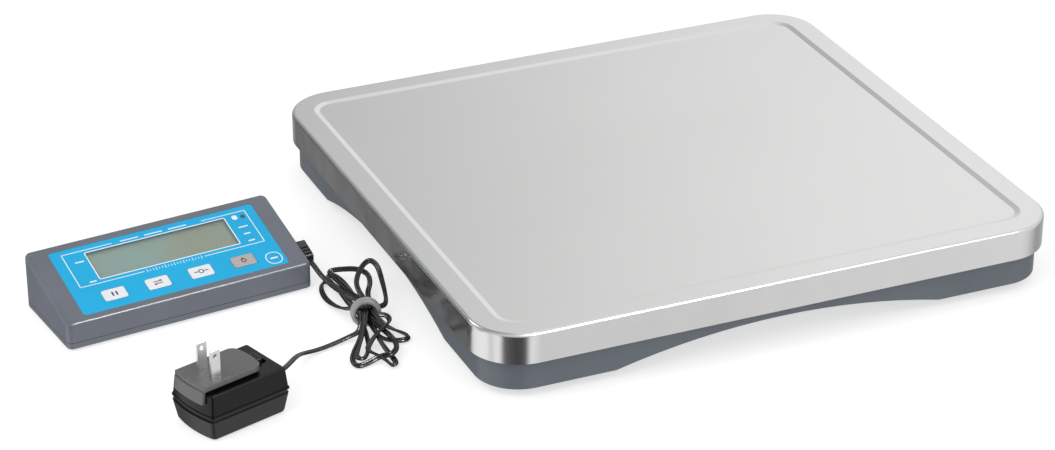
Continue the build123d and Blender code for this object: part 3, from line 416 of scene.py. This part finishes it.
MATERIALS = {
    "stainless": steel_sheet("stainless", (0.80, 0.80, 0.795)),
    "soft_rubber": rubber("soft_rubber", (0.030, 0.030, 0.032)),
    "base_plastic": plastic("base_plastic", (0.104, 0.120, 0.140), rough=0.36, relief=0.15),
    "inner_plastic": plastic("inner_plastic", (0.060, 0.064, 0.070), rough=0.5),
    "cell_steel": metal("cell_steel", (0.45, 0.45, 0.46), rough=0.38, fineness=0.5, relief=0.3),
    "gauge_film": plastic("gauge_film", (0.55, 0.30, 0.06), rough=0.3, grain=1.2),
    "screw_steel": metal("screw_steel", (0.55, 0.55, 0.56), rough=0.25, fineness=2.0),
    "wire_jacket": rubber("wire_jacket", (0.050, 0.050, 0.055), rough=0.5),
    "circuit_green": plastic("circuit_green", (0.012, 0.105, 0.040), rough=0.35, grain=1.5,
                             coat=0.4, vary=0.3),
    "chip_black": plastic("chip_black", (0.018, 0.018, 0.019), rough=0.5),
    "case_plastic": plastic("case_plastic", (0.128, 0.140, 0.172), rough=0.32, grain=0.35,
                            relief=0.12, coat=0.06),
    "film_blue": plastic("film_blue", (0.010, 0.400, 0.720), rough=0.42, grain=0.3,
                         relief=0.08, vary=0.03, shine=0.2),
    "window_clear": clear_pane(),
    "lcd_green": display_glass(),
    "lcd_frame_black": plastic("lcd_frame_black", (0.012, 0.012, 0.012), rough=0.5),
    "key_white": plastic("key_white", (0.78, 0.80, 0.83), rough=0.4, grain=0.25, vary=0.02),
    "key_hatched": hatched("key_hatched", (0.62, 0.58, 0.58), (0.26, 0.20, 0.19)),
    "dome_metal": metal("dome_metal", (0.6, 0.6, 0.6), rough=0.25),
    "lamp_dark": plastic("lamp_dark", (0.016, 0.020, 0.026), rough=0.15, coat=0.8),
    "battery_jacket": plastic("battery_jacket", (0.05, 0.07, 0.12), rough=0.3, coat=0.5),
    "snap_plate": plastic("snap_plate", (0.02, 0.02, 0.02), rough=0.5),
    "adapter_gloss": plastic("adapter_gloss", (0.003, 0.003, 0.0035), rough=0.24, grain=0.6,
                             relief=0.06, shine=0.3),
    "adapter_satin": plastic("adapter_satin", (0.012, 0.012, 0.014), rough=0.38, grain=0.5,
                             relief=0.3),
    "head_gloss": plastic("head_gloss", (0.105, 0.105, 0.110), rough=0.28, grain=0.6,
                          relief=0.06),
    "blade_nickel": metal("blade_nickel", (0.90, 0.89, 0.87), rough=0.32, fineness=1.5),
    "spring_steel": metal("spring_steel", (0.5, 0.5, 0.5), rough=0.3),
    "core_iron": plastic("core_iron", (0.05, 0.05, 0.055), rough=0.6, grain=0.8, relief=0.5),
    "can_metal": metal("can_metal", (0.55, 0.56, 0.58), rough=0.3),
    "contact_brass": metal("contact_brass", (0.70, 0.50, 0.20), rough=0.28),
    "lead_black": plastic("lead_black", (0.003, 0.003, 0.0035), rough=0.24, grain=0.5,
                          relief=0.03, shine=0.9),
    "tie_grey": plastic("tie_grey", (0.30, 0.295, 0.29), rough=0.42, grain=1.2, relief=0.5,
                        vary=0.35),
    "print_white": plastic("print_white", (0.82, 0.86, 0.88), rough=0.45, grain=0.3, vary=0.02),
    "print_dark": plastic("print_dark", (0.045, 0.030, 0.040), rough=0.5, grain=0.3),
}


def paint_nodes():
    """Give every CAD node the finish of its slot in the record."""
    for part in frame["record"]["subparts"]:
        mesh = NODES[part["node"]].data
        mesh.materials.clear()
        mesh.materials.append(MATERIALS[part["material_slot"]])


# --- camera, floor and light ------------------------------------------------------------------
def add_camera():
    """A long lens from the front left, looking down on the bench."""
    bpy.ops.object.camera_add(location=CAMERA_AT)
    camera = bpy.context.object
    camera.rotation_euler = (math.radians(90 - CAMERA_DOWN), 0, math.radians(-CAMERA_TURN))
    camera.data.lens = CAMERA_LENS
    camera.data.sensor_width = 36.0
    camera.data.clip_end = 50.0
    bpy.context.scene.camera = camera


def add_floor():
    """A plain pale floor, which mirror-like surfaces don't see."""
    bpy.ops.mesh.primitive_plane_add(size=12.0, location=(0, 0, -0.0002))
    floor = bpy.context.object
    floor.name = "floor"
    material, tree, shader = new_material("floor_paint")
    shader.inputs["Base Color"].default_value = (0.5, 0.5, 0.5, 1)
    shader.inputs["Roughness"].default_value = 0.9
    shader.inputs["Specular IOR Level"].default_value = 0.0
    shader.inputs["Emission Color"].default_value = (1, 1, 1, 1)
    shader.inputs["Emission Strength"].default_value = FLOOR_GLOW
    floor.data.materials.append(material)
    floor.visible_glossy = False


def add_area(name, place, aim, size, power):
    """A soft square light."""
    bpy.ops.object.light_add(type="AREA", location=place)
    light = bpy.context.object
    light.name = name
    light.data.size = size
    light.data.energy = power
    light.rotation_euler = (Vector(aim) - Vector(place)).to_track_quat("-Z", "Y").to_euler()
    return light


def level_ring(tree, around, stops):
    """A grey level that changes round the room: (degrees from +X towards +Y, level) pairs."""
    ramp = grid(tree, "ShaderNodeValToRGB", Fac=around)
    places = sorted(((degrees / 360 + 0.5) % 1.0, level) for degrees, level in stops)
    elements = ramp.color_ramp.elements
    for _ in places[2:]:
        elements.new(0.5)
    for element, (position, level) in zip(elements, places):
        element.position = position
        element.color = (level, level, level, 1)
    return ramp.outputs["Color"]


def add_world():
    """A white room: plain to the eye, with soft boxes and dark gaps for steel to mirror."""
    world = bpy.data.worlds.new("studio")
    bpy.context.scene.world = world
    world.use_nodes = True
    tree = world.node_tree
    tree.nodes.clear()
    place = tree.nodes.new("ShaderNodeTexCoord")
    split = grid(tree, "ShaderNodeSeparateXYZ", Vector=place.outputs["Generated"])
    angle = maths(tree, "ARCTAN2", split.outputs["Y"], split.outputs["X"])
    around = maths(tree, "ADD", maths(tree, "DIVIDE", angle, 2 * math.pi), 0.5)
    high = grid(tree, "ShaderNodeMapRange", Value=split.outputs["Z"], From_Min=-0.05, From_Max=0.36)
    sky = tree.nodes.new("ShaderNodeMix")
    sky.data_type = "RGBA"
    tree.links.new(high.outputs["Result"], sky.inputs["Factor"])
    tree.links.new(level_ring(tree, around, LOW_RING), sky.inputs["A"])
    tree.links.new(level_ring(tree, around, HIGH_RING), sky.inputs["B"])
    path = tree.nodes.new("ShaderNodeLightPath")
    mirror = grid(tree, "ShaderNodeBackground", Color=sky.outputs["Result"], Strength=MIRROR_STRENGTH)
    plain = grid(tree, "ShaderNodeBackground", Color=(1, 1, 1, 1), Strength=FILL_STRENGTH)
    seen = grid(tree, "ShaderNodeBackground", Color=(1, 1, 1, 1), Strength=1.0)
    lit = grid(tree, "ShaderNodeMixShader", Fac=path.outputs["Is Glossy Ray"])
    tree.links.new(plain.outputs[0], lit.inputs[1])
    tree.links.new(mirror.outputs[0], lit.inputs[2])
    both = grid(tree, "ShaderNodeMixShader", Fac=path.outputs["Is Camera Ray"])
    tree.links.new(lit.outputs[0], both.inputs[1])
    tree.links.new(seen.outputs[0], both.inputs[2])
    out = tree.nodes.new("ShaderNodeOutputWorld")
    tree.links.new(both.outputs[0], out.inputs["Surface"])


def add_light():
    """A broad key from the left, a fill from the front and two strips that only gloss sees."""
    key = add_area("key_light", (-1.6, -0.5, 1.6), (-0.1, 0, 0), 1.6, 14.0)
    fill = add_area("fill_light", (0.8, -2.0, 1.4), (0, 0, 0), 1.8, 7.0)
    for light in (key, fill):
        light.visible_glossy = False
    for name, place, power in (("strip_light", (0.5, -1.2, 1.9), 55.0),
                               ("rim_light", (-1.1, 1.3, 1.5), 4.0)):
        strip = add_area(name, place, (-0.15, -0.1, 0), STRIP_SIZE, power)
        strip.visible_diffuse = False


# --- lead -------------------------------------------------------------------------------------
def tie_cell(cell, along):
    """A point inside the tie: its column and row, and how far along the tie's axis."""
    turn = Matrix.Rotation(math.radians(TIE_TURN), 3, "Z")
    return TIE_AT + turn @ Vector((cell[0] * TIE_STEP, along, cell[1] * TIE_STEP))


def lead_points():
    """The lead's whole route: plug, bow after bow through the tie, adapter."""
    points = [Vector(point) for point in PLUG_ROUTE + PLUG_REACH]
    heading = -1
    for cell, bow in BOWS:
        points += [tie_cell(cell, -TIE_REACH * heading), tie_cell(cell, TIE_REACH * heading)]
        points += [Vector(point) for point in bow]
        heading = -heading
    points += [tie_cell(LAST_CELL, TIE_REACH), tie_cell(LAST_CELL, -TIE_REACH)]
    return points + [Vector(point) for point in ADAPTER_ROUTE]


def smooth_line(points):
    """The route's own smooth line, as evenly placed points in metres."""
    curve = bpy.data.curves.new("lead_route", "CURVE")
    curve.dimensions = "3D"
    spline = curve.splines.new("NURBS")
    spline.points.add(len(points) - 1)
    for control, point in zip(spline.points, points):
        control.co = (*(point * MM), 1.0)
    spline.order_u = 3
    spline.use_endpoint_u = True
    spline.resolution_u = 10
    route = bpy.data.objects.new("lead_route", curve)
    bpy.context.scene.collection.objects.link(route)
    bpy.context.view_layer.update()
    mesh = bpy.data.meshes.new_from_object(route)
    line = [vertex.co.copy() for vertex in mesh.vertices]
    bpy.data.objects.remove(route)
    bpy.data.meshes.remove(mesh)
    return line


def twin_section():
    """The lead's outline across: two round cores that touch, as (across, up) in metres."""
    outline = []
    half = math.degrees(math.acos(CORE_APART / CORE_RADIUS))
    for side in (1, -1):
        for step in range(9):
            angle = math.radians(-180 + half + step * (360 - 2 * half) / 8)
            x = math.cos(angle) * CORE_RADIUS + CORE_APART
            y = math.sin(angle) * CORE_RADIUS
            outline.append((side * x * MM, side * y * MM))
    return outline


def lead_mesh(line, section):
    """A mesh that follows the line, flat on the bench at its ends and turning in the hank."""
    mesh = bmesh.new()
    total = len(line)
    rings = []
    side = Vector((1, 0, 0))
    for index, centre in enumerate(line):
        tangent = (line[min(index + 1, total - 1)] - line[max(index - 1, 0)]).normalized()
        flat = tangent.cross(Vector((0, 0, 1)))
        if flat.length < 0.2:
            flat = side
        if flat.dot(side) < 0:
            flat = -flat
        side = (side * 0.8 + flat.normalized() * 0.2)
        side = (side - tangent * side.dot(tangent)).normalized()
        share = index / total
        into = (share - FREE_SHARE) / TWIST_FADE
        out = (1 - FREE_SHARE - share) / TWIST_FADE
        inside = max(0.0, min(1.0, into, out))
        turn = inside * math.radians(LEAD_TWIST) * math.sin(share * TWIST_RATE)
        across = Matrix.Rotation(turn, 3, tangent) @ side
        up = across.cross(tangent)
        rings.append([mesh.verts.new(centre + across * x + up * y) for x, y in section])
    for first, second in zip(rings, rings[1:]):
        for step in range(len(section)):
            after = (step + 1) % len(section)
            mesh.faces.new((first[step], first[after], second[after], second[step]))
    mesh.faces.new(rings[0][::-1])
    mesh.faces.new(rings[-1])
    bmesh.ops.recalc_face_normals(mesh, faces=mesh.faces)
    data = bpy.data.meshes.new("lead")
    mesh.to_mesh(data)
    mesh.free()
    return data


def add_lead():
    """The flat twin lead from the power plug, through the tied hank, to the adapter."""
    line = smooth_line(lead_points())
    piece = bpy.data.objects.new("lead", lead_mesh(line, twin_section()))
    bpy.context.scene.collection.objects.link(piece)
    finished(piece, "base", MATERIALS["lead_black"], smooth=50)
    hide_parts("cord_plug_side", "cord_hank", "cord_adapter_side")


def add_tie():
    """The band that ties the hank: two turns side by side."""
    turns = []
    for offset in (-1.0, 1.0):
        bpy.ops.mesh.primitive_torus_add(major_radius=TIE_RING * MM, minor_radius=BAND_RADIUS * MM,
                                         major_segments=48, minor_segments=14,
                                         rotation=(math.radians(90), 0, 0),
                                         location=(0, offset * BAND_OFFSET * MM, 0))
        turns.append(settle(bpy.context.object))
    piece = joined("tie_band", turns)
    place = Matrix.Translation(TIE_AT * MM) @ Matrix.Rotation(math.radians(TIE_TURN), 4, "Z")
    placed(piece, place)
    finished(piece, "base", MATERIALS["tie_grey"], smooth=60)
    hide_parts("cord_tie")


# --- print on the indicator -------------------------------------------------------------------
FACE = face_frame()


def on_face(x, y, z):
    """A place on the face, in millimetres from the film's centre."""
    return FACE @ Matrix.Translation(Vector((x, y, z)) * MM)


def strip(name, width, height, place, corner=0.0, line=None):
    """A thin printed plate, solid or as an outline of a given line width."""
    bpy.ops.object.select_all(action="DESELECT")
    bpy.ops.mesh.primitive_plane_add(size=1.0)
    plate = bpy.context.object
    plate.name = name
    plate.scale = (width * MM, height * MM, 1)
    settle(plate)
    bpy.ops.object.mode_set(mode="EDIT")
    bpy.ops.mesh.select_all(action="SELECT")
    if corner:
        bpy.ops.mesh.bevel(offset=corner * MM, segments=5, affect="VERTICES")
    if line:
        bpy.ops.mesh.select_all(action="SELECT")
        bpy.ops.mesh.inset(thickness=line * MM)
        bpy.ops.mesh.delete(type="FACE")
    bpy.ops.mesh.select_all(action="SELECT")
    bpy.ops.mesh.extrude_region_move(TRANSFORM_OT_translate={"value": (0, 0, PRINT * MM)})
    bpy.ops.mesh.select_all(action="SELECT")
    bpy.ops.mesh.normals_make_consistent(inside=False)
    bpy.ops.object.mode_set(mode="OBJECT")
    return placed(plate, place)


def film_print():
    """The white lines and marks on the film."""
    parts = [strip("window_line", WINDOW[0] + 1.4, WINDOW[1] + 1.4,
                   on_face(0, WINDOW_UP, FILM_TOP), corner=1.2, line=0.7)]
    (left, right), (low, high) = FRAME_X, FRAME_Y
    gaps = {high: UPPER_GAP, low: LOWER_GAP}
    for level, (gap_low, gap_high) in gaps.items():
        parts.append(strip("line", gap_low - left, LINE,
                           on_face((left + gap_low) / 2, level, FILM_TOP)))
        parts.append(strip("line", right - gap_high, LINE,
                           on_face((right + gap_high) / 2, level, FILM_TOP)))
    for x in (left, right):
        parts.append(strip("line", LINE, high - low + LINE,
                           on_face(x, (low + high) / 2, FILM_TOP)))
    for step in range(TICKS):
        tall = 2.6 if step % 3 == 0 else 1.5
        x = TICK_START + step * TICK_PITCH
        parts.append(strip("tick", 0.4, tall, on_face(x, low, FILM_TOP)))
    for x, y, length in SIDE_MARKS:
        parts.append(strip("mark", length, 1.0, on_face(x, y, FILM_TOP), corner=0.4))
    for x in TOP_MARKS_X:
        parts.append(strip("mark", 12.0, 0.8, on_face(x, high, FILM_TOP), corner=0.3))
    parts.append(strip("ring", 10.4, 10.4, on_face(*RING_AT, FILM_TOP), corner=4.4, line=0.6))
    parts.append(strip("bar", 5.0, 1.2, on_face(*RING_AT, FILM_TOP), corner=0.5))
    parts.append(strip("palm", 3.4, 3.8, on_face(*PALM_AT, FILM_TOP), corner=1.2))
    piece = joined("film_print", parts)
    finished(piece, "base", MATERIALS["print_white"])


def key_marks():
    """A plain pictogram on each key: two bars, crossed arrows, a centred ring, an on-off ring."""
    drawings = {
        "hold": [(-1.3, 0, 1.1, 3.4, 0), (1.3, 0, 1.1, 3.4, 0)],
        "unit": [(0, 0.9, 5.4, 0.6, 0), (0, -0.9, 5.4, 0.6, 0), (2.2, 1.4, 1.6, 0.6, -35),
                 (-2.2, -1.4, 1.6, 0.6, -35)],
        "tare": [(-3.3, 0, 2.8, 0.6, 0), (3.3, 0, 2.8, 0.6, 0)],
        "zero": [(0, 1.5, 0.7, 2.0, 0)],
    }
    for index, (name, bars) in enumerate(drawings.items()):
        x = KEY_ALONG + (index - 1.5) * KEY_PITCH
        parts = []
        for dx, dy, width, height, turn in bars:
            place = on_face(x + dx, KEY_UP + dy, KEY_TOP) @ Matrix.Rotation(math.radians(turn), 4, "Z")
            parts.append(strip("bar", width, height, place))
        if name in ("tare", "zero"):
            parts.append(strip("ring", 3.4, 3.4, on_face(x, KEY_UP, KEY_TOP), corner=1.5, line=0.6))
        piece = joined("mark_" + name, parts)
        finished(piece, "key_" + name, MATERIALS["print_dark"])


# --- make it ----------------------------------------------------------------------------------
bpy.context.scene.view_settings.view_transform = "Standard"
add_camera()
add_world()
add_floor()
add_light()
paint_nodes()
add_lead()
add_tie()
film_print()
key_marks()
